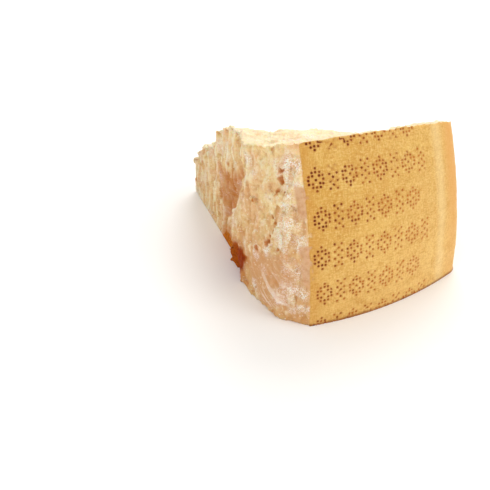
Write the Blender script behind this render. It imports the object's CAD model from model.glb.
"""The looks of a wedge of hard aged grating cheese, split from a wheel and lying on one split face.

The wedge is one closed mesh. It starts as the frame's solid, remeshed finely, and is then worked over
as the real piece is: the rind is turned true and pricked with rows of dots, the left face splits into
a lobe, plates and pits, the upper split into low terraces, and all of the broken paste gets its grain.

Lengths are in millimetres and in the wheel's own frame until the mesh is finished: X along the wheel's
axis from the middle of its height, Y from the axis with the rind at -Y, and Z above the table.
"""

from math import atan2, cos, pi, radians, sin

import bmesh
import bpy
import numpy as np
from mathutils import Euler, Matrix, Vector, kdtree, noise


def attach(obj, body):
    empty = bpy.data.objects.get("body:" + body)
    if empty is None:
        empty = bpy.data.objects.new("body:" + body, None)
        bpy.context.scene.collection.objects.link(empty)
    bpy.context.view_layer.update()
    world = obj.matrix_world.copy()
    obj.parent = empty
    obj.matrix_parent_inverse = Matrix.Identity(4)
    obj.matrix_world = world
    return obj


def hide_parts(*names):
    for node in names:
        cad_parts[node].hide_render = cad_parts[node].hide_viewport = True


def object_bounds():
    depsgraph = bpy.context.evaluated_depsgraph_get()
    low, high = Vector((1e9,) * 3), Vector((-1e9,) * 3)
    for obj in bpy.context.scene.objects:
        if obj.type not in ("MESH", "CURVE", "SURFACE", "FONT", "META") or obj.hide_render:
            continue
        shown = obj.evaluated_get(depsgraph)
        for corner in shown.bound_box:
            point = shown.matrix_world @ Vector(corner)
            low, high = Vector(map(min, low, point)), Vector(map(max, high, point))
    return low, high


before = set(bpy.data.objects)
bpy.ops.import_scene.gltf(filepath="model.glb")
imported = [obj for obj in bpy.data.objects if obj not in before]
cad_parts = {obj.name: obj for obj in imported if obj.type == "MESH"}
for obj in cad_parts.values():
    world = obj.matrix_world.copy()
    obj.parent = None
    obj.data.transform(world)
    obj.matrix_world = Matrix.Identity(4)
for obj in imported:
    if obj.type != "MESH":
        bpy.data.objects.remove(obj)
CAD_BOX = [list(corner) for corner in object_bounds()]

MM = 0.001
NODE = "cheese_wedge"

# The wheel, as the frame's design has it.
WHEEL_RADIUS = 210.0
WHEEL_HALF_HEIGHT = 107.5
SIDE_BULGE_RADIUS = 190.5
SHOULDER_RADIUS = 13.0
AXIS_HEIGHT = 3.0
RIND_EDGE_X = -5.0
WHEEL_PLACE = np.array([
    CAD_BOX[1][0] / MM - WHEEL_HALF_HEIGHT,
    CAD_BOX[0][1] / MM + WHEEL_RADIUS,
    CAD_BOX[0][2] / MM,
])

# The mesh: its even cells, how deep a point may lie and still belong to the rind, how near the rind and
# the table a point joins their shared edge, and how near the table it is pulled flat. Cells are halved
# on the left face, within these reaches of a dot, and round the pits.
BLANK_CELL = 1.55
TRUE_RIND_DEPTH = 0.6
TABLE_EDGE = 1.3
TABLE_SNAP = 0.5
LEFT_FACE_X = 6
DOT_REACHES = (1.6, 1.0)
PIT_REACH = 1.6
PIT_MARGIN = 1.5
PIT_FACE_X = -8

# The pricked rows on the rind, in lengths along X and along the arc of the wheel's side. Each dot is
# shaken a little out of its place, and is more worn away along its row, further down and at random.
ROW_PITCH = 22.67
TOP_ROW_ANGLE = radians(29.5)
ROW_COUNT = 6
ROW_SLOPE = radians(1.6)
LONG_ROW = (-3.0, 88.0)
SHORT_ROW = (-1.5, 76.0)
DOT_PITCH_X = 2.2
DOT_PITCH_ARC = 2.15
DOT_RADIUS = 0.76
DOT_DEPTH = 0.7
MOTIF_GAP = 0.7
DOT_SHAKE = 0.13
DOT_SEED = 5
WORN_ALONG_ROW = 0.45
WORN_FURTHER_DOWN = 0.05
WORN_AT_RANDOM = 0.25
LOZENGE = ("..#..", ".###.", "##.##", "#.#.#", "##.##", ".###.", "..#..")
LATTICE = ("#.#", ".#.", "#.#", ".#.", "#.#", ".#.", "#.#")
MOTIFS = (LOZENGE, LATTICE)

# The line that the upper split follows along the rind, as angles up the wheel's side at two places. The
# rind's edge is found in steps along X. The rind below it is eased between two angles, and the split
# behind it between two depths.
TOP_EDGE_NEAR = (8.0, radians(29.2))
TOP_EDGE_FAR = (95.0, radians(30.0))
EDGE_STEP = 4.0
EDGE_REACH = 3
EASED_ANGLES = (radians(20), radians(28.5))
EASED_DEPTHS = (40, 4)

# Rises and dips of the upper split, as (x, y, radius, height).
TOP_SWELLS = (
    (-24, -108, 11, 2.6), (-9, -121, 12, -2.6), (-10, -180, 9, 1.8), (20, -152, 14, 1.0),
    (-26, -66, 9, -2.4), (-22, -124, 6, 1.6),
)
SWELL_SPREAD = 1.6

# The step up at the edge of one plate, on the upper split: the y where it starts, is whole, begins to
# fade and has faded, and its height. It also fades between two places along X.
TOP_STEP = (-75.5, -79.5, -102, -117, 4.2)
TOP_STEP_X = (14, -12)

# The left face, with outlines and lines on it as (y, z): the lobe at its front, the groove beside the
# lobe, and the hollow under it.
FRONT_LOBE = (
    (-235, 135), (-146, 135), (-146.5, 92), (-148, 84), (-149.5, 72), (-147, 60), (-136, 49), (-123, 37),
    (-106, 21), (-103, 13), (-110, 10.5), (-122, 13.5), (-136, 19.5), (-148, 23), (-156, 22), (-164, 19),
    (-171, 12), (-176, -10), (-235, -10),
)
GROOVE = ((-131, 70), (-129, 58), (-117, 42), (-100, 26), (-97, 12))
GROOVE_DEPTH = 3.8
HOLLOW = (
    (-90, -8), (-94, 4), (-103, 11.5), (-112, 11.5), (-122, 14), (-136, 20), (-150, 23.5), (-157, 20),
    (-153, 9), (-149, -8),
)

# Each plate is the y where it starts and ends, how proud its edge nearer the tip stands, and how far it
# slopes in from there. The plates lean by this share of the height over the middle one, and their edges
# waver: this far, with waves of these lengths along Y and Z.
PLATES = (
    (-147, -131, -0.3, 1.8), (-131, -113, -0.2, 2.8), (-113, -103, 0.2, 2.2), (-103, -92, 0.4, 2.6),
    (-92, -79.5, 1.5, 2.4), (-79.5, -70.5, -1.8, 2.8), (-70.5, -62, -0.5, 2.6), (-62, -53, -0.6, 3.0),
    (-53, -44, 0.0, 2.6), (-44, -35, -0.2, 3.0), (-35, -26, -0.4, 2.6), (-26, -15, 0.0, 2.0),
)
PLATE_LEAN = 0.07
PLATE_MIDDLE_Z = 50
PLATE_WAVER = 1.4
PLATE_WAVES = (30, 16)

# The pits as (y, z, radius, depth). They are a little higher than they are wide.
PITS = (
    (-179.0, 86.8, 1.5, 2.2), (-179.0, 81.0, 1.6, 2.4), (-179.0, 74.4, 1.1, 1.8), (-178.2, 58.7, 1.3, 2.4),
    (-181.2, 55.0, 1.0, 1.8), (-180.2, 50.6, 1.1, 2.0), (-178.5, 46.1, 1.0, 1.8), (-177.8, 41.5, 1.4, 2.6),
    (-170.4, 34.1, 1.3, 1.6), (-175.0, 68.0, 0.8, 1.2), (-186.7, 41.2, 0.9, 1.2), (-139.0, 77.0, 1.6, 2.0),
    (-107.0, 61.0, 1.3, 1.6), (-160.0, 62.0, 0.8, 1.0), (-186.0, 77.0, 0.9, 1.2),
)
PIT_SQUEEZE = 0.8
PIT_DEPTH_SHARE = 0.8

# White bruises, and the darker round places in the smooth dip beside the groove, as (y, z, radius).
BRUISES = (
    (-185, 93, 6), (-187, 82, 6), (-190, 70, 5), (-191, 58, 8), (-200, 53, 5), (-191, 48, 7),
    (-178, 38, 4), (-170, 31, 3.5), (-168, 9, 3), (-202, 34, 4), (-203, 22, 5), (-195, 12, 4),
    (-150, 84, 4), (-149, 73, 3), (-205, 10, 4), (-92, 68, 4),
)
SHADED = (
    (-133, 68, 7), (-130, 60, 9), (-120, 50, 13), (-106, 44, 13), (-103, 27, 12), (-99, 17, 9),
    (-95, 34, 11), (-92, 48, 9),
)

# The two stretches where the rind's thickness shows, as their upper and lower z, and the facet low at
# the front where the paste has split cleanly.
BARE_STRIP = ((84, 66), (51, 26))
SMOOTH_FACET = (
    (-163, 22), (-170, 31), (-181, 37), (-193, 41), (-202, 33), (-201, 10), (-190, 3), (-174, 5),
    (-164, 12),
)

# The terraces of the upper split: how wide and how high they are.
TERRACE_WIDTH = 13
TERRACE_HEIGHT = 1.6

# How far two of the fields run before they stay level: the depth under the rind, and the height.
DEEPEST_FIELD = 40.0
HIGHEST_FIELD = 80.0


# ------------------------------------------------------------- helpers for arrays of points

def between(low, high, values):
    """0 at low and 1 at high, with soft ends."""
    share = np.clip((values - low) / (high - low), 0, 1)
    return share * share * (3 - 2 * share)


def noise_at(points, size, seed):
    """Smooth noise, about -1 to 1, with lumps of about this size along each axis."""
    shift = Vector((seed * 7.31, seed * 3.17, seed * 5.53))
    return np.array([noise.noise(Vector(p) + shift) for p in points / size]) * 1.6


def chips_at(points, size, seed):
    """Flat chips, about -1 to 1: each cell of a random pattern has its own height and tilt.

    The size is one length, or one along each axis.
    """
    shift = Vector((seed * 5.13, seed * 9.71, seed * 2.37))
    heights = np.empty(len(points))
    for i, point in enumerate(points / size):
        place = Vector(point) + shift
        _, feet = noise.voronoi(place)
        tilt = noise.cell_vector(feet[0] * 13.7) * 2 - Vector((1, 1, 1))
        heights[i] = 0.5 * tilt.x + (place - feet[0]).dot(tilt.yzx)
    return heights


def crumbs_at(points, size, seed):
    """Round grains, 0 in the seams between them to 1 on their tops."""
    shift = Vector((seed * 2.71, seed * 6.13, seed * 4.19))
    nearest = np.array([noise.voronoi(Vector(p) + shift)[0][0] for p in points / size])
    return 1 - np.clip(nearest, 0, 1) ** 2


def line_distance(places, line):
    """How far each (y, z) place is from an open line through these points."""
    found = np.full(len(places), np.inf)
    for start, end in zip(line, line[1:]):
        start, along = np.array(start, float), np.subtract(end, start).astype(float)
        share = np.clip((places - start) @ along / (along @ along), 0, 1)
        found = np.minimum(found, np.linalg.norm(places - start - share[:, None] * along, axis=1))
    return found


def inside_outline(places, outline):
    """How far each (y, z) place is inside a closed outline; outside it is negative."""
    crossings = np.zeros(len(places), int)
    y, z = places.T
    closed = [*outline, outline[0]]
    for (y0, z0), (y1, z1) in zip(closed, closed[1:]):
        if z0 == z1:
            continue
        spans = (z0 > z) != (z1 > z)
        crossings += spans & (y < (y1 - y0) * (z - z0) / (z1 - z0) + y0)
    return line_distance(places, closed) * np.where(crossings % 2 == 1, 1, -1)


# ------------------------------------------------------------- the wheel's outer surface

def side_radius(x):
    return WHEEL_RADIUS - x * x / (2 * SIDE_BULGE_RADIUS)


SHOULDER_X = WHEEL_HALF_HEIGHT - SHOULDER_RADIUS
SHOULDER_LEAN = atan2(SHOULDER_X, SIDE_BULGE_RADIUS - SHOULDER_RADIUS)
SHOULDER_START = SHOULDER_X + SHOULDER_RADIUS * sin(SHOULDER_LEAN)
SHOULDER_CENTRE = side_radius(SHOULDER_START) - SHOULDER_RADIUS * cos(SHOULDER_LEAN)


def wheel_places(points):
    """Each point's angle up the wheel's side and its distance from the wheel's axis."""
    y, z = points[:, 1], points[:, 2] - AXIS_HEIGHT
    return np.arctan2(z, -y), np.hypot(y, z)


def rind_depth(points):
    """How deep each point is below the wheel's outer surface: its side, shoulder or flat face."""
    _, radius = wheel_places(points)
    x = points[:, 0]
    lean = np.arctan(x / SIDE_BULGE_RADIUS)
    below_side = (side_radius(x) - radius) * np.cos(lean)
    below_face = WHEEL_HALF_HEIGHT - x
    out_x, out_radius = x - SHOULDER_X, radius - SHOULDER_CENTRE
    below_shoulder = SHOULDER_RADIUS - np.hypot(out_x, out_radius)
    at_shoulder = (out_x > 0) & (out_radius > 0) & (x > SHOULDER_START * 0.9)
    at_shoulder &= np.arctan2(out_x, out_radius) > SHOULDER_LEAN
    return np.where(at_shoulder, below_shoulder, np.minimum(below_side, below_face))


def wheel_normals(points):
    """The outward direction of the wheel's outer surface nearest each point."""
    angle, radius = wheel_places(points)
    x = points[:, 0]
    lean = np.arctan(x / SIDE_BULGE_RADIUS)
    out_x, out_radius = x - SHOULDER_X, radius - SHOULDER_CENTRE
    turned = np.clip(np.arctan2(out_x, np.maximum(out_radius, 0.01)), 0, pi / 2)
    on_shoulder = (out_x > 0) & (turned > SHOULDER_LEAN)
    lean = np.where(on_shoulder, turned, lean)
    lean = np.where((out_radius <= 0) & (WHEEL_HALF_HEIGHT - x < 5), pi / 2, lean)
    return np.stack([np.sin(lean), -np.cos(lean) * np.cos(angle), np.cos(lean) * np.sin(angle)], axis=1)


# ------------------------------------------------------------- the pricked dots

def row_marks(start, end):
    """The marks of one row as (x, height above the row's middle), both in millimetres."""
    x = start
    number = 0
    while True:
        motif = MOTIFS[number % len(MOTIFS)]
        columns = len(motif[0])
        if x + (columns - 1) * DOT_PITCH_X > end:
            return
        for line, marks in enumerate(motif):
            height = ((len(motif) - 1) / 2 - line) * DOT_PITCH_ARC
            for column, mark in enumerate(marks):
                if mark == "#":
                    yield x + column * DOT_PITCH_X, height
        x += (columns + MOTIF_GAP) * DOT_PITCH_X
        number += 1


def pricked_dots():
    """The dots on the rind: an array of (x, arc, strength), with arc measured up the wheel's side."""
    rng = np.random.default_rng(DOT_SEED)
    dots = []
    for row in range(ROW_COUNT):
        arc = TOP_ROW_ANGLE * WHEEL_RADIUS - row * ROW_PITCH
        start, end = LONG_ROW if row % 2 else SHORT_ROW
        for x, height in row_marks(start, end):
            worn = WORN_ALONG_ROW * (x - start) / (end - start) + WORN_FURTHER_DOWN * row
            strength = 1 - worn - WORN_AT_RANDOM * rng.random()
            place = (x, arc + height + (x - start) * sin(ROW_SLOPE))
            shaken = np.array(place) + rng.normal(0, DOT_SHAKE, 2)
            dots.append((*shaken, strength))
    return np.array(dots)


def nearest_dots(points, dots):
    """For each point on the wheel's side: how far the nearest dot is, and which one it is."""
    angle, _ = wheel_places(points)
    tree = kdtree.KDTree(len(dots))
    for number, (x, arc, _) in enumerate(dots):
        tree.insert((x, arc, 0), number)
    tree.balance()
    found = [tree.find((x, arc, 0)) for x, arc in zip(points[:, 0], angle * WHEEL_RADIUS)]
    return np.array([f[2] for f in found]), np.array([f[1] for f in found])


# ------------------------------------------------------------- making the mesh

def fine_blank():
    """The frame's solid as a closed mesh of small even cells, in the wheel's frame."""
    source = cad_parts[NODE]
    mesh = source.data.copy()
    bm = bmesh.new()
    bm.from_mesh(mesh)
    bmesh.ops.remove_doubles(bm, verts=bm.verts, dist=0.00001)
    bm.to_mesh(mesh)
    bm.free()
    mesh.materials.clear()
    blank = bpy.data.objects.new("blank", mesh)
    bpy.context.scene.collection.objects.link(blank)
    remesh = blank.modifiers.new("even cells", "REMESH")
    remesh.mode = "VOXEL"
    remesh.voxel_size = BLANK_CELL * MM
    graph = bpy.context.evaluated_depsgraph_get()
    fine = bpy.data.meshes.new_from_object(blank.evaluated_get(graph))
    bpy.data.objects.remove(blank)
    return fine


def points_of(mesh):
    points = np.empty(len(mesh.vertices) * 3)
    mesh.vertices.foreach_get("co", points)
    return points.reshape(-1, 3) / MM - WHEEL_PLACE


def normals_of(mesh):
    normals = np.empty(len(mesh.vertices) * 3, np.float32)
    mesh.vertices.foreach_get("normal", normals)
    return normals.reshape(-1, 3).astype(float)


def place_points(mesh, points):
    mesh.vertices.foreach_set("co", ((points + WHEEL_PLACE) * MM).ravel())
    mesh.update()


def split_cells(mesh, chosen):
    """Halves the cells whose corners are all chosen."""
    bm = bmesh.new()
    bm.from_mesh(mesh)
    edges = [e for e in bm.edges if chosen[e.verts[0].index] and chosen[e.verts[1].index]]
    bmesh.ops.subdivide_edges(bm, edges=edges, cuts=1, use_grid_fill=True)
    bmesh.ops.triangulate(bm, faces=[f for f in bm.faces if len(f.verts) > 4])
    bm.to_mesh(mesh)
    bm.free()


def refine(mesh, dots):
    """Smaller cells where the detail is: on the broken left face, round the dots and at the pits."""
    points, normals = points_of(mesh), normals_of(mesh)
    facing_down = normals[:, 2] <= -0.9
    left = (points[:, 0] < LEFT_FACE_X) & ~facing_down & (points[:, 2] > TABLE_SNAP)
    split_cells(mesh, left)
    for reach in DOT_REACHES:
        points = points_of(mesh)
        distance, _ = nearest_dots(points, dots)
        on_rind = (rind_depth(points) < TRUE_RIND_DEPTH) & (points[:, 0] > RIND_EDGE_X)
        split_cells(mesh, on_rind & (distance < reach))
    points = points_of(mesh)
    near_pit = np.zeros(len(points), bool)
    for y, z, radius, _ in PITS:
        near_pit |= np.hypot(points[:, 1] - y, points[:, 2] - z) < radius * PIT_REACH + PIT_MARGIN
    split_cells(mesh, near_pit & (points[:, 0] < PIT_FACE_X))


def true_rind(points):
    """Sets the points of the rind exactly on the wheel's outer surface, with a sharp edge at the table."""
    depth = rind_depth(points)
    at_edge = np.maximum(depth, points[:, 2]) < TABLE_EDGE
    points = points.copy()
    points[:, 2] = np.where(at_edge | (points[:, 2] < TABLE_SNAP), 0, points[:, 2])
    depth = rind_depth(points)
    moves = np.where(at_edge | (depth < TRUE_RIND_DEPTH), depth, 0)
    return points + wheel_normals(points) * moves[:, None]


def level_top_edge(points):
    """Brings the rind's upper edge to its line, and eases the rind and the split beside it to suit."""
    angle, radius = wheel_places(points)
    depth = rind_depth(points)
    on_rind = (depth < TRUE_RIND_DEPTH) & (points[:, 0] > RIND_EDGE_X - EDGE_REACH)
    places = np.arange(RIND_EDGE_X, WHEEL_HALF_HEIGHT - 2, EDGE_STEP)
    found = [angle[on_rind & (abs(points[:, 0] - x) < EDGE_REACH)].max() for x in places]
    (near_x, near_angle), (far_x, far_angle) = TOP_EDGE_NEAR, TOP_EDGE_FAR
    wanted = np.interp(points[:, 0], (near_x, far_x), (near_angle, far_angle))
    share = between(*EASED_ANGLES, angle) * between(*EASED_DEPTHS, depth)
    turned = angle + share * (wanted - np.interp(points[:, 0], places, found))
    y, z = -radius * np.cos(turned), AXIS_HEIGHT + radius * np.sin(turned)
    return np.stack([points[:, 0], y, z], axis=1)


def swell_top(points):
    """Raises and lowers the upper split at its swells and its step, away from the rind."""
    lift = np.zeros(len(points))
    for x, y, radius, height in TOP_SWELLS:
        distance = np.hypot(points[:, 0] - x, points[:, 1] - y)
        lift += height * between(radius * SWELL_SPREAD, 0, distance)
    start, done, fading, faded, height = TOP_STEP
    step = between(start, done, points[:, 1]) * between(faded, fading, points[:, 1])
    lift += height * step * between(*TOP_STEP_X, points[:, 0])
    lift *= between(35, 60, points[:, 2]) * between(0.5, 3.0, rind_depth(points))
    return points + np.array([0, 0, 1]) * lift[:, None]


def plates(places):
    """Upright plates on the half of the left face nearer the tip. Each one slopes in towards the rind.

    Returns their heights, and how far each place is across its plate, from 0 at its low side to 1 at its
    proud side.
    """
    y, z = places[:, 0] + PLATE_LEAN * (places[:, 1] - PLATE_MIDDLE_Z), places[:, 1]
    waves = np.stack([np.zeros_like(y), y / PLATE_WAVES[0], z / PLATE_WAVES[1]], axis=1)
    y = y + PLATE_WAVER * noise_at(waves, size=1.0, seed=3)
    height = np.zeros(len(places))
    across = np.full(len(places), 0.5)
    for start, end, proud, slope in PLATES:
        share = np.clip((y - start) / (end - start), 0, 1)
        here = (y >= start) & (y < end)
        height = np.where(here, proud + slope * (share - 1), height)
        across = np.where(here, share, across)
    # Near the table the plates stand less proud.
    height *= between(8, 30, z) * 0.6 + 0.4
    return height, across


def ragged_places(points):
    """The (y, z) places of the points, shifted a little so that outlines on them come out ragged."""
    shifts = []
    for seed in (21, 22):
        bends = 1.3 * noise_at(points, size=8.0, seed=seed)
        nicks = 0.8 * noise_at(points, size=2.4, seed=seed + 4)
        shifts.append(bends + nicks)
    return points[:, 1:] + np.stack(shifts, axis=1)


def wavy_places(points, reach, size, seed):
    """The (y, z) places of the points, shifted in waves of about this reach and size."""
    shifts = [noise_at(points, size, seed), noise_at(points, size, seed + 1)]
    return points[:, 1:] + reach * np.stack(shifts, axis=1)


def pit_distances(points):
    """For each pit, how far the points are from its middle, its radius and its depth."""
    ragged = ragged_places(points)
    for y, z, radius, depth in PITS:
        yield np.hypot(ragged[:, 0] - y, (ragged[:, 1] - z) * PIT_SQUEEZE), radius, depth


def left_face_heights(points):
    """The broken left face: the front lobe over the plates, the groove beside it and the pits in it."""
    places = points[:, 1:]
    ragged = ragged_places(points)
    lobe = between(-1.5, 0.3, inside_outline(ragged, FRONT_LOBE))
    groove = between(9, 1, line_distance(ragged, GROOVE)) * (1 - lobe)
    rounded = between(0, 9, inside_outline(places, FRONT_LOBE))
    plate_heights, _ = plates(places)
    heights = (1 - lobe) * (plate_heights - 0.5 - GROOVE_DEPTH * groove) + lobe * (1.1 * rounded - 0.3)
    for distance, radius, depth in pit_distances(points):
        heights -= PIT_DEPTH_SHARE * depth * (1 - between(radius * 0.4, radius * 1.3, distance))
    return heights


def ridges_at(points):
    """The plates' proud edges and the lobe's rim as 1, and the plates' low sides as -1."""
    places = points[:, 1:]
    _, across = plates(places)
    inside = inside_outline(places, FRONT_LOBE)
    plate = between(0.72, 0.95, across) - between(0.4, 0.05, across)
    rim = 0.6 * between(4, 1, inside) * between(-0.5, 0.5, inside)
    return (between(0, -1, inside) * plate + rim) * between(-5, -14, points[:, 0])


def streaks(points):
    """Fine ridges that run down towards the front, low on the front of the left face."""
    y, z = points[:, 1], points[:, 2]
    across = np.stack([(z - 0.35 * y) / 1.7, y / 15, np.zeros_like(y)], axis=1)
    return noise_at(across, size=1.0, seed=31) * between(-170, -184, y)


def top_terraces(points):
    """Low steps across the upper split, beside its near edge."""
    bent = points[:, 1] + 0.25 * points[:, 0] + 5 * noise_at(points, size=30.0, seed=41)
    step = np.mod(bent / TERRACE_WIDTH, 1)
    return TERRACE_HEIGHT * (step - 0.5) * (1 - 0.55 * between(20, 60, points[:, 0]))


def bare_strip_at(points, depth):
    """Where the rind's thickness shows clean and smooth beside its edge."""
    wavy_depth = depth + 0.6 * noise_at(points, size=7.0, seed=71)
    wavy_z = points[:, 2] + 2.5 * noise_at(points, size=6.0, seed=72)
    strip = between(4.6, 3.2, wavy_depth) * (points[:, 0] < 2) * (points[:, 2] < 98)
    shown = np.zeros(len(points))
    for high, low in BARE_STRIP:
        shown += between(high + 2, high - 2, wavy_z) * between(low - 2, low + 2, wavy_z)
    return strip * np.clip(shown, 0, 1)


def smooth_facet_at(points):
    """Where the paste has split cleanly, low on the front of the left face."""
    wavy = wavy_places(points, reach=2.0, size=9.0, seed=73)
    return between(-2.5, 3.0, inside_outline(wavy, SMOOTH_FACET)) * (points[:, 0] < 0)


def grain_at(points):
    """The flaky grain of broken paste, from upright splinters down to crumbs of 2 mm."""
    splinters = 0.95 * chips_at(points, size=np.array([5.0, 4.2, 12.0]), seed=2)
    chips = 0.5 * chips_at(points, size=5.0, seed=7) + 0.14 * chips_at(points, size=2.2, seed=3)
    crumbs = 0.16 * (crumbs_at(points, size=2.2, seed=5) - 0.62)
    return splinters + chips + crumbs + 0.10 * noise_at(points, size=1.4, seed=4)


def carve(points, normals, depth):
    """Moves the paste in and out by its plates, terraces and grain.

    Returns the moved points, and the grain and the ridges as fields for the material.
    """
    paste = between(TRUE_RIND_DEPTH, 1.8, depth)
    off_table = between(0.0, 2.5, points[:, 2])
    left = between(0.35, 0.75, -normals[:, 0]) * between(3, -3, points[:, 0])
    top = between(0.5, 0.8, normals[:, 2]) * between(1, 4, points[:, 2])
    facet = left * smooth_facet_at(points)
    rough = paste * (1 - 0.85 * bare_strip_at(points, depth)) * (1 - 0.7 * facet)

    grain = grain_at(points)
    heights = left * left_face_heights(points)
    heights += top * top_terraces(points)
    heights += 0.5 * facet * streaks(points)
    flakes = chips_at(points, size=np.array([12.0, 9.0, 15.0]), seed=1)
    heights += rough * (1.2 * flakes + 0.7 * grain - 0.5)
    moved = points + normals * (heights * paste * off_table)[:, None]
    return moved, grain * rough, paste * left * ridges_at(points)


def prick(points, depth, dots):
    """Presses the dots into the rind.

    Returns the moved points, how far inside a dot each one is, and that dot's strength.
    """
    distance, number = nearest_dots(points, dots)
    strength = dots[number, 2]
    radius = DOT_RADIUS * (0.72 + 0.28 * strength)
    on_side = between(TRUE_RIND_DEPTH, 0.2, depth) * between(-5.5, -4.0, points[:, 0])
    press = between(radius * 1.25, radius * 0.35, distance) * DOT_DEPTH * strength * on_side
    moved = points - wheel_normals(points) * press[:, None]
    return moved, np.where(on_side > 0.5, radius - distance, -3.0), strength


def edge_chips(points):
    """How deep the rind is chipped along its edge beside the left face."""
    return between(0.1, 1.0, noise_at(points, size=4.0, seed=53)) * between(-2.6, -4.6, points[:, 0])


def weather_rind(points, depth):
    """A little unevenness all over the rind, as from the cloth and boards that it ripened on."""
    on_rind = between(TRUE_RIND_DEPTH, 0.2, depth)
    stretched = points / np.array([2.2, 1.0, 1.0])
    dents = 0.28 * noise_at(stretched, size=16.0, seed=51)
    grain = 0.10 * noise_at(stretched, size=3.0, seed=52)
    heights = dents + grain - 0.3 - edge_chips(points)
    off_table = between(0.0, 2.0, points[:, 2])
    return points + wheel_normals(points) * (heights * on_rind * off_table)[:, None]


def add_field(mesh, name, values):
    """Stores one value, or one vector, for each point of the mesh."""
    vectors = values.ndim == 2
    field = mesh.attributes.new(name, "FLOAT_VECTOR" if vectors else "FLOAT", "POINT")
    field.data.foreach_set("vector" if vectors else "value", values.astype(np.float32).ravel())


def frost_at(points):
    """Where the paste is bruised white, mostly in patches beside the rind."""
    wavy = wavy_places(points, reach=2.5, size=6.0, seed=63)
    frost = np.zeros(len(points))
    for y, z, radius in BRUISES:
        distance = np.hypot(wavy[:, 0] - y, wavy[:, 1] - z)
        frost = np.maximum(frost, between(radius * 1.5, radius * 0.3, distance))
    frost = frost * between(6, -2, points[:, 0])
    elsewhere = 0.5 * between(0.35, 0.9, noise_at(points, size=11.0, seed=61))
    return np.clip(np.maximum(frost, elsewhere), 0, 1)


def hollow_at(points):
    """Where the lobe is broken away underneath, so that the paste shows deep amber."""
    wavy = wavy_places(points, reach=1.0, size=6.0, seed=65)
    return between(-1.0, 2.0, inside_outline(wavy, HOLLOW)) * between(-8, -14, points[:, 0])


def shade_at(points):
    """How far each point is into the groove beside the lobe, the dip round it or the hollow's rim."""
    wavy = wavy_places(points, reach=1.5, size=6.0, seed=67)
    outside = between(0.5, -0.5, inside_outline(wavy, FRONT_LOBE))
    shade = 0.45 * between(14, 2, line_distance(wavy, GROOVE))
    for y, z, radius in SHADED:
        distance = np.hypot(wavy[:, 0] - y, wavy[:, 1] - z)
        shade = np.maximum(shade, between(radius * 1.3, radius * 0.4, distance))
    beside_hollow = between(-6.0, 0.0, inside_outline(wavy, HOLLOW))
    return np.clip(np.maximum(shade * outside, beside_hollow), 0, 1) * between(-5, -14, points[:, 0])


def pit_shade_at(points):
    """How far into a pit each point is."""
    found = np.zeros(len(points))
    for distance, radius, _ in pit_distances(points):
        found = np.maximum(found, 1 - between(radius * 0.7, radius * 1.7, distance))
    return found * (points[:, 0] < 0)


def build_wedge():
    """The wedge as one closed mesh, with the fields that its material reads."""
    dots = pricked_dots()
    mesh = fine_blank()
    refine(mesh, dots)
    points = level_top_edge(true_rind(points_of(mesh)))
    place_points(mesh, points)
    points = swell_top(points)
    place_points(mesh, points)
    depth = np.maximum(rind_depth(points), 0)
    angle, radius = wheel_places(points)
    normals = normals_of(mesh)

    add_field(mesh, "rind_depth", np.minimum(depth + edge_chips(points), DEEPEST_FIELD))
    add_field(mesh, "wheel_place", np.stack([points[:, 0], angle * WHEEL_RADIUS, radius], axis=1))
    add_field(mesh, "frost", frost_at(points))
    add_field(mesh, "hollow", hollow_at(points))
    add_field(mesh, "shade", shade_at(points))
    add_field(mesh, "pit", pit_shade_at(points))
    add_field(mesh, "bare_strip", bare_strip_at(points, depth))
    add_field(mesh, "upper", between(0.55, 0.85, normals[:, 2]))
    add_field(mesh, "smooth_facet", smooth_facet_at(points))
    add_field(mesh, "streak", streaks(points))
    add_field(mesh, "off_table", np.minimum(points[:, 2], HIGHEST_FIELD))

    carved, grain, ridges = carve(points, normals, depth)
    pricked, inside_dot, strength = prick(weather_rind(carved, depth), depth, dots)
    add_field(mesh, "grain", grain)
    add_field(mesh, "ridge", ridges)
    add_field(mesh, "inside_dot", inside_dot)
    add_field(mesh, "dot_strength", strength)

    low = np.array(CAD_BOX[0]) / MM - WHEEL_PLACE
    high = np.array(CAD_BOX[1]) / MM - WHEEL_PLACE
    place_points(mesh, np.clip(pricked, low, high))
    mesh.shade_smooth()
    wedge = bpy.data.objects.new("cut_wedge", mesh)
    bpy.context.scene.collection.objects.link(wedge)
    return wedge


# ------------------------------------------------------------- materials

def linear(red, green, blue):
    """A colour as a shader takes it, from its 0 to 255 screen values."""
    shares = np.array([red, green, blue]) / 255
    values = np.where(shares <= 0.04045, shares / 12.92, ((shares + 0.055) / 1.055) ** 2.4)
    return (*values.tolist(), 1.0)


# The sockets of a Mix node, which come by number: its first and second value, and its result.
MIXED_COLORS = (6, 7, 2)
MIXED_VALUES = (2, 3, 0)


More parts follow.
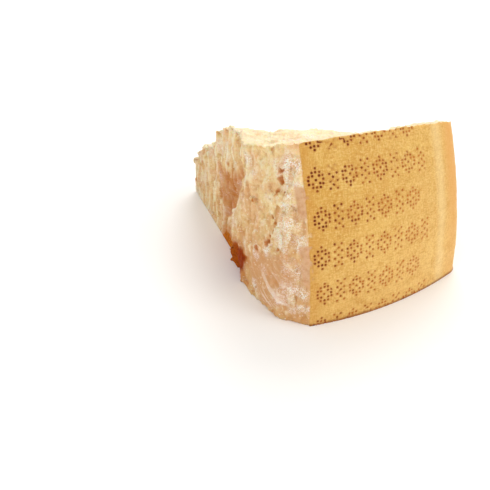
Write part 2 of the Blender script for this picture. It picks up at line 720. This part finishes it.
class Nodes:
    """Short ways to add and link the nodes of one tree."""

    def __init__(self, tree):
        self.tree = tree

    def add(self, kind, **settings):
        node = self.tree.nodes.new(kind)
        for name, value in settings.items():
            setattr(node, name, value)
        return node

    def feed(self, socket, value):
        if isinstance(value, bpy.types.NodeSocket):
            self.tree.links.new(value, socket)
        else:
            socket.default_value = value

    def field(self, name, vector=False):
        node = self.add("ShaderNodeAttribute", attribute_name=name)
        return node.outputs["Vector" if vector else "Fac"]

    def maths(self, operation, first, second=0.0):
        node = self.add("ShaderNodeMath", operation=operation)
        self.feed(node.inputs[0], first)
        self.feed(node.inputs[1], second)
        return node.outputs[0]

    def between(self, value, low, high, to_low=0.0, to_high=1.0):
        node = self.add("ShaderNodeMapRange", interpolation_type="SMOOTHSTEP")
        for name, given in zip(("Value", "From Min", "From Max", "To Min", "To Max"),
                               (value, low, high, to_low, to_high)):
            self.feed(node.inputs[name], given)
        return node.outputs["Result"]

    def times(self, first, second):
        return self.maths("MULTIPLY", first, second)

    def mix(self, share, first, second, data_type="RGBA", sockets=MIXED_COLORS):
        node = self.add("ShaderNodeMix", data_type=data_type)
        first_socket, second_socket, result = sockets
        self.feed(node.inputs["Factor"], share)
        self.feed(node.inputs[first_socket], first)
        self.feed(node.inputs[second_socket], second)
        return node.outputs[result]

    def mix_value(self, share, first, second):
        return self.mix(share, first, second, "FLOAT", MIXED_VALUES)

    def layered(self, color, *layers):
        """The colour with layers over it, each one a (share, colour)."""
        for share, over in layers:
            color = self.mix(share, color, over)
        return color

    def split(self, vector):
        node = self.add("ShaderNodeSeparateXYZ")
        self.feed(node.inputs[0], vector)
        return node.outputs

    def stretched(self, vector, *scale):
        node = self.add("ShaderNodeVectorMath", operation="MULTIPLY")
        self.feed(node.inputs[0], vector)
        node.inputs[1].default_value = scale
        return node.outputs[0]

    def noise(self, vector, scale, detail=3.0, roughness=0.5):
        node = self.add("ShaderNodeTexNoise")
        self.feed(node.inputs["Vector"], vector)
        node.inputs["Scale"].default_value = scale
        node.inputs["Detail"].default_value = detail
        node.inputs["Roughness"].default_value = roughness
        return node.outputs["Fac"]

    def cells(self, vector, scale):
        node = self.add("ShaderNodeTexVoronoi")
        self.feed(node.inputs["Vector"], vector)
        node.inputs["Scale"].default_value = scale
        return node.outputs["Distance"]


def new_group(name, inputs, outputs):
    """A shader node group with these (name, kind) sockets, ready to fill."""
    tree = bpy.data.node_groups.new(name, "ShaderNodeTree")
    for in_out, sockets in (("INPUT", inputs), ("OUTPUT", outputs)):
        for socket, kind in sockets:
            tree.interface.new_socket(socket, in_out=in_out, socket_type=f"NodeSocket{kind}")
    nodes = Nodes(tree)
    return nodes, nodes.add("NodeGroupInput").outputs, nodes.add("NodeGroupOutput").inputs


# The rind's colours.
GOLD_AT_EDGE = linear(212, 160, 72)
GOLD_AT_SHOULDER = linear(224, 178, 98)
GOLD_CLOUD = linear(226, 182, 98)
GOLD_BELOW = linear(240, 196, 118)
BROWN_BLOTCH = linear(202, 144, 62)
RAISED_THREAD = linear(244, 212, 140)
SUNK_THREAD = linear(186, 124, 46)
DARK_SPECKLE = linear(194, 130, 54)
PALE_SPECKLE = linear(246, 214, 140)
SPLIT_EDGE = linear(206, 140, 56)
PALE_BAND = linear(250, 226, 168)
SHOULDER_TAN = linear(228, 168, 92)
WORN_DOT = linear(204, 126, 44)
DEEP_DOT = linear(98, 28, 0)
DOT_HALO = linear(170, 84, 26)
RIND_AT_TABLE = linear(140, 62, 20)


def rind_group():
    """The golden rind: a cloth's weave, mottling, a paler band and a tan shoulder, and the pricked dots."""
    nodes, given, result = new_group(
        "golden rind",
        [("Place", "Vector"), ("Off Table", "Float"), ("Inside Dot", "Float"), ("Dot Strength", "Float")],
        [("Color", "Color"), ("Roughness", "Float"), ("Height", "Float")],
    )
    place = given["Place"]
    across = nodes.split(place)
    x, up = across["X"], across["Y"]

    clouds = nodes.noise(place, 0.035, 3.0)
    blotches = nodes.noise(nodes.stretched(place, 0.6, 1, 1), 0.16, 4.0, 0.6)
    thread = nodes.noise(nodes.stretched(place, 0.3, 1.6, 1), 0.9, 2.0)
    warp = nodes.noise(nodes.stretched(place, 1.6, 0.3, 1), 0.9, 2.0)
    speckle = nodes.noise(place, 0.9, 2.0, 0.6)
    weave = nodes.maths("ADD", nodes.times(thread, 0.5), nodes.times(warp, 0.5))

    wavy_x = nodes.maths("ADD", x, nodes.times(clouds, 5.0))
    band = nodes.times(nodes.between(wavy_x, 85, 91), nodes.between(wavy_x, 97, 92))
    tan = nodes.times(nodes.between(wavy_x, 93, 102, 0.0, 0.75), nodes.between(up, 10, 70, 0.45, 1.0))
    gold = nodes.layered(
        nodes.mix(nodes.between(x, 0, 85), GOLD_AT_EDGE, GOLD_AT_SHOULDER),
        (nodes.between(clouds, 0.35, 0.7), GOLD_CLOUD),
        (nodes.between(up, 75, 5, 0.0, 0.5), GOLD_BELOW),
        (nodes.between(blotches, 0.42, 0.75, 0.0, 0.5), BROWN_BLOTCH),
        (nodes.between(weave, 0.5, 0.64, 0.0, 0.38), RAISED_THREAD),
        (nodes.between(weave, 0.5, 0.38, 0.0, 0.34), SUNK_THREAD),
        (nodes.between(speckle, 0.52, 0.72, 0.0, 0.35), DARK_SPECKLE),
        (nodes.between(speckle, 0.48, 0.30, 0.0, 0.35), PALE_SPECKLE),
        (nodes.between(x, 3, -4, 0.0, 0.35), SPLIT_EDGE),
        (nodes.times(band, 0.32), PALE_BAND),
        (nodes.times(tan, nodes.between(x, 103, 107.3, 1.0, 0.62)), SHOULDER_TAN),
    )

    dot = nodes.mix(nodes.between(given["Dot Strength"], 0.3, 0.95), WORN_DOT, DEEP_DOT)
    nodes.feed(result["Color"], nodes.layered(
        gold,
        (nodes.between(given["Inside Dot"], -0.16, 0.14), dot),
        (nodes.between(given["Inside Dot"], -0.9, -0.1, 0.0, 0.3), DOT_HALO),
        (nodes.between(given["Off Table"], 2.2, 0.4, 0.0, 0.65), RIND_AT_TABLE),
    ))
    nodes.feed(result["Roughness"], nodes.between(blotches, 0.3, 0.8, 0.42, 0.58))
    nodes.feed(result["Height"], nodes.times(weave, 0.35))
    return nodes.tree


# The fields of the mesh that the paste reads, and its colours.
PASTE_FIELDS = (
    "frost", "hollow", "shade", "pit", "bare_strip", "upper", "grain", "ridge", "smooth_facet", "streak",
    "off_table",
)
CREAM = linear(243, 215, 156)
BLUSH = linear(239, 198, 146)
LOW_SIDES = linear(204, 138, 76)
PLATE_LOW_SIDE = linear(204, 132, 58)
PLATE_RIDGE = linear(253, 238, 202)
FACET = linear(214, 158, 108)
GRAIN_SEAM = linear(202, 130, 58)
GRAIN_TOP = linear(252, 234, 198)
DARK_FLECK = linear(212, 150, 82)
PALE_FLECK = linear(252, 236, 204)
UPPER_SPLIT = linear(250, 234, 200)
SHADED_PASTE = linear(198, 118, 46)
FROST_SEAM = linear(200, 156, 126)
FROST = linear(255, 249, 243)
FACET_STREAK = linear(252, 234, 214)
CRYSTAL = linear(255, 248, 236)
STRIP_PALE = linear(218, 174, 134)
STRIP_DARK = linear(206, 154, 110)
AMBER = linear(206, 118, 26)
DEEP_AMBER = linear(156, 54, 0)
AMBER_FLECK = linear(110, 28, 0)
PIT_AMBER = linear(200, 112, 30)


def paste_group():
    """The broken paste: cream to blush, with white bruising and crystals, and amber where it is deep."""
    nodes, given, result = new_group(
        "crumbly paste",
        [("wheel_place", "Vector"), *((name, "Float") for name in PASTE_FIELDS)],
        [("Color", "Color"), ("Roughness", "Float"), ("Height", "Float")],
    )
    place = given["wheel_place"]
    radius = nodes.split(place)["Z"]
    patches = nodes.noise(place, 0.05, 4.0, 0.6)
    flecks = nodes.noise(place, 0.36, 4.0, 0.62)
    fine = nodes.noise(place, 1.3, 3.0, 0.6)
    grains = nodes.cells(place, 0.8)
    crystals = nodes.cells(place, 0.33)

    low = nodes.between(given["off_table"], 80.0, 10.0, 0.0, 0.55)
    low = nodes.times(low, nodes.between(radius, 80, 130, 0.25, 1.0))
    seams = nodes.times(nodes.between(fine, 0.48, 0.34, 0.0, 0.55), given["frost"])
    broken = nodes.times(nodes.between(fine, 0.42, 0.60), given["frost"])
    broken = nodes.times(broken, nodes.between(given["grain"], -0.5, 0.3, 0.45, 1.0))
    streak = nodes.times(nodes.between(given["streak"], 0.1, 0.7), given["smooth_facet"])
    streak = nodes.times(streak, nodes.between(given["off_table"], 32, 12, 0.1, 0.6))
    strip = nodes.mix(nodes.between(flecks, 0.4, 0.65), STRIP_PALE, STRIP_DARK)
    amber = nodes.mix(nodes.between(radius, 108, 150), AMBER, DEEP_AMBER)
    amber = nodes.mix(nodes.between(flecks, 0.42, 0.65, 0.0, 0.5), amber, AMBER_FLECK)
    nodes.feed(result["Color"], nodes.layered(
        nodes.mix(nodes.between(patches, 0.38, 0.62), CREAM, BLUSH),
        (low, LOW_SIDES),
        (nodes.between(given["ridge"], -0.1, -1.0, 0.0, 0.6), PLATE_LOW_SIDE),
        (nodes.between(given["ridge"], 0.1, 0.9, 0.0, 0.75), PLATE_RIDGE),
        (nodes.times(given["smooth_facet"], 0.8), FACET),
        (nodes.between(given["grain"], 0.0, -1.0, 0.0, 0.6), GRAIN_SEAM),
        (nodes.between(given["grain"], 0.1, 1.0, 0.0, 0.65), GRAIN_TOP),
        (nodes.between(flecks, 0.5, 0.7, 0.0, 0.45), DARK_FLECK),
        (nodes.between(flecks, 0.46, 0.3, 0.0, 0.5), PALE_FLECK),
        (nodes.times(given["upper"], 0.55), UPPER_SPLIT),
        (nodes.times(given["shade"], 0.72), SHADED_PASTE),
        (seams, FROST_SEAM),
        (nodes.times(broken, 0.9), FROST),
        (streak, FACET_STREAK),
        (nodes.between(crystals, 0.17, 0.10, 0.0, 0.5), CRYSTAL),
        (nodes.times(given["bare_strip"], 0.9), strip),
        (nodes.times(given["hollow"], 0.95), amber),
        (nodes.times(given["pit"], 0.8), PIT_AMBER),
    ))

    nodes.feed(result["Roughness"], nodes.between(fine, 0.3, 0.8, 0.5, 0.75))
    rise = nodes.maths("ADD", nodes.times(grains, -0.4), nodes.times(flecks, 0.8))
    rise = nodes.maths("ADD", rise, nodes.times(fine, 0.4))
    smooth = nodes.between(given["bare_strip"], 0.0, 1.0, 1.0, 0.2)
    nodes.feed(result["Height"], nodes.times(rise, smooth))
    return nodes.tree


# How far light sinks in, and how much of red, green and blue does.
LIGHT_DEPTH = 4 * MM
LIGHT_SPREAD = (1.0, 0.45, 0.2)
BUMP_STRENGTH = 0.8


def cheese_material():
    """Rind outside and paste where it is broken, with light that sinks in a few millimetres.

    In the hollow and the pits less light sinks in and less of it shines back, so they stay deep amber.
    """
    material = bpy.data.materials.new("aged_cheese")
    material.use_nodes = True
    nodes = Nodes(material.node_tree)
    shader = material.node_tree.nodes["Principled BSDF"]
    place = nodes.field("wheel_place", vector=True)
    depth = nodes.field("rind_depth")

    rind = nodes.add("ShaderNodeGroup", node_tree=rind_group())
    nodes.feed(rind.inputs["Place"], place)
    nodes.feed(rind.inputs["Off Table"], nodes.field("off_table"))
    nodes.feed(rind.inputs["Inside Dot"], nodes.field("inside_dot"))
    nodes.feed(rind.inputs["Dot Strength"], nodes.field("dot_strength"))

    paste = nodes.add("ShaderNodeGroup", node_tree=paste_group())
    nodes.feed(paste.inputs["wheel_place"], place)
    for name in PASTE_FIELDS:
        nodes.feed(paste.inputs[name], nodes.field(name))

    cut = nodes.between(depth, 0.35, 1.1)
    roughness = nodes.mix_value(cut, rind.outputs["Roughness"], paste.outputs["Roughness"])
    nodes.feed(shader.inputs["Base Color"], nodes.mix(cut, rind.outputs["Color"], paste.outputs["Color"]))
    nodes.feed(shader.inputs["Roughness"], roughness)
    bump = nodes.add("ShaderNodeBump")
    bump.inputs["Distance"].default_value = MM
    bump.inputs["Strength"].default_value = BUMP_STRENGTH
    nodes.feed(bump.inputs["Height"], nodes.mix_value(cut, rind.outputs["Height"], paste.outputs["Height"]))
    nodes.feed(shader.inputs["Normal"], bump.outputs["Normal"])

    deep = nodes.maths("MAXIMUM", nodes.field("hollow"), nodes.field("pit"))
    sinking = nodes.mix_value(nodes.times(deep, cut), nodes.mix_value(cut, 0.10, 0.35), 0.05)
    nodes.feed(shader.inputs["Subsurface Weight"], sinking)
    nodes.feed(shader.inputs["Specular IOR Level"], nodes.mix_value(deep, 0.2, 0.02))
    shader.inputs["Subsurface Radius"].default_value = LIGHT_SPREAD
    shader.inputs["Subsurface Scale"].default_value = LIGHT_DEPTH
    return material


# ------------------------------------------------------------- the studio, in metres

TABLE_REACH = 6.0
TABLE_COLOR = (0.97, 0.955, 0.93, 1)
TABLE_ROUGHNESS = 0.7
ROOM_STRENGTH = 0.80
LAMP_SIZE = 0.9
LAMP_TARGET = Vector((0, 0, 0.05))

# The lamps, as (name, place, power in watts, colour).
LAMPS = (
    ("key", (0.9, -0.9, 1.3), 7, (1.0, 0.98, 0.95)),
    ("back", (0.6, 1.0, 1.3), 12, (1, 1, 1)),
    ("fill", (-0.9, -0.6, 1.1), 1.5, (1, 1, 1)),
)


def table_material():
    material = bpy.data.materials.new("white_table")
    material.use_nodes = True
    shader = material.node_tree.nodes["Principled BSDF"]
    shader.inputs["Base Color"].default_value = TABLE_COLOR
    shader.inputs["Roughness"].default_value = TABLE_ROUGHNESS
    return material


def build_table():
    mesh = bpy.data.meshes.new("table")
    bm = bmesh.new()
    bmesh.ops.create_grid(bm, x_segments=1, y_segments=1, size=TABLE_REACH)
    bm.to_mesh(mesh)
    bm.free()
    mesh.materials.append(table_material())
    table = bpy.data.objects.new("table", mesh)
    table.location.z = CAD_BOX[0][2]
    bpy.context.scene.collection.objects.link(table)
    return table


def add_softbox(name, place, power, color):
    """A square lamp, turned to the wedge."""
    lamp = bpy.data.lights.new(name, "AREA")
    lamp.energy = power
    lamp.size = LAMP_SIZE
    lamp.color = color
    obj = bpy.data.objects.new(name, lamp)
    obj.location = place
    obj.rotation_euler = (LAMP_TARGET - Vector(place)).to_track_quat("-Z", "Y").to_euler()
    bpy.context.scene.collection.objects.link(obj)


def build_studio():
    scene = bpy.context.scene
    world = bpy.data.worlds.new("white_room")
    world.use_nodes = True
    background = world.node_tree.nodes["Background"]
    background.inputs["Color"].default_value = (1, 1, 1, 1)
    background.inputs["Strength"].default_value = ROOM_STRENGTH
    scene.world = world
    scene.view_settings.view_transform = "Standard"
    for lamp in LAMPS:
        add_softbox(*lamp)


# The camera, at its place in the wheel's frame, in millimetres.
CAMERA_PLACE = (-174.0, -605.0, 308.6)
CAMERA_HEADING = radians(18.0)
CAMERA_PITCH = radians(30.63)
CAMERA_LENS = 66.1


def build_camera():
    camera = bpy.data.cameras.new("camera")
    camera.lens = CAMERA_LENS
    camera.sensor_width = 36
    camera.clip_start = 0.01
    obj = bpy.data.objects.new("camera", camera)
    obj.location = (np.array(CAMERA_PLACE) + WHEEL_PLACE) * MM
    obj.rotation_euler = Euler((pi / 2 - CAMERA_PITCH, 0, -CAMERA_HEADING))
    bpy.context.scene.collection.objects.link(obj)
    bpy.context.scene.camera = obj


build_camera()
build_studio()
build_table()

wedge = build_wedge()
wedge.data.materials.append(cheese_material())
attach(wedge, "root")
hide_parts(NODE)
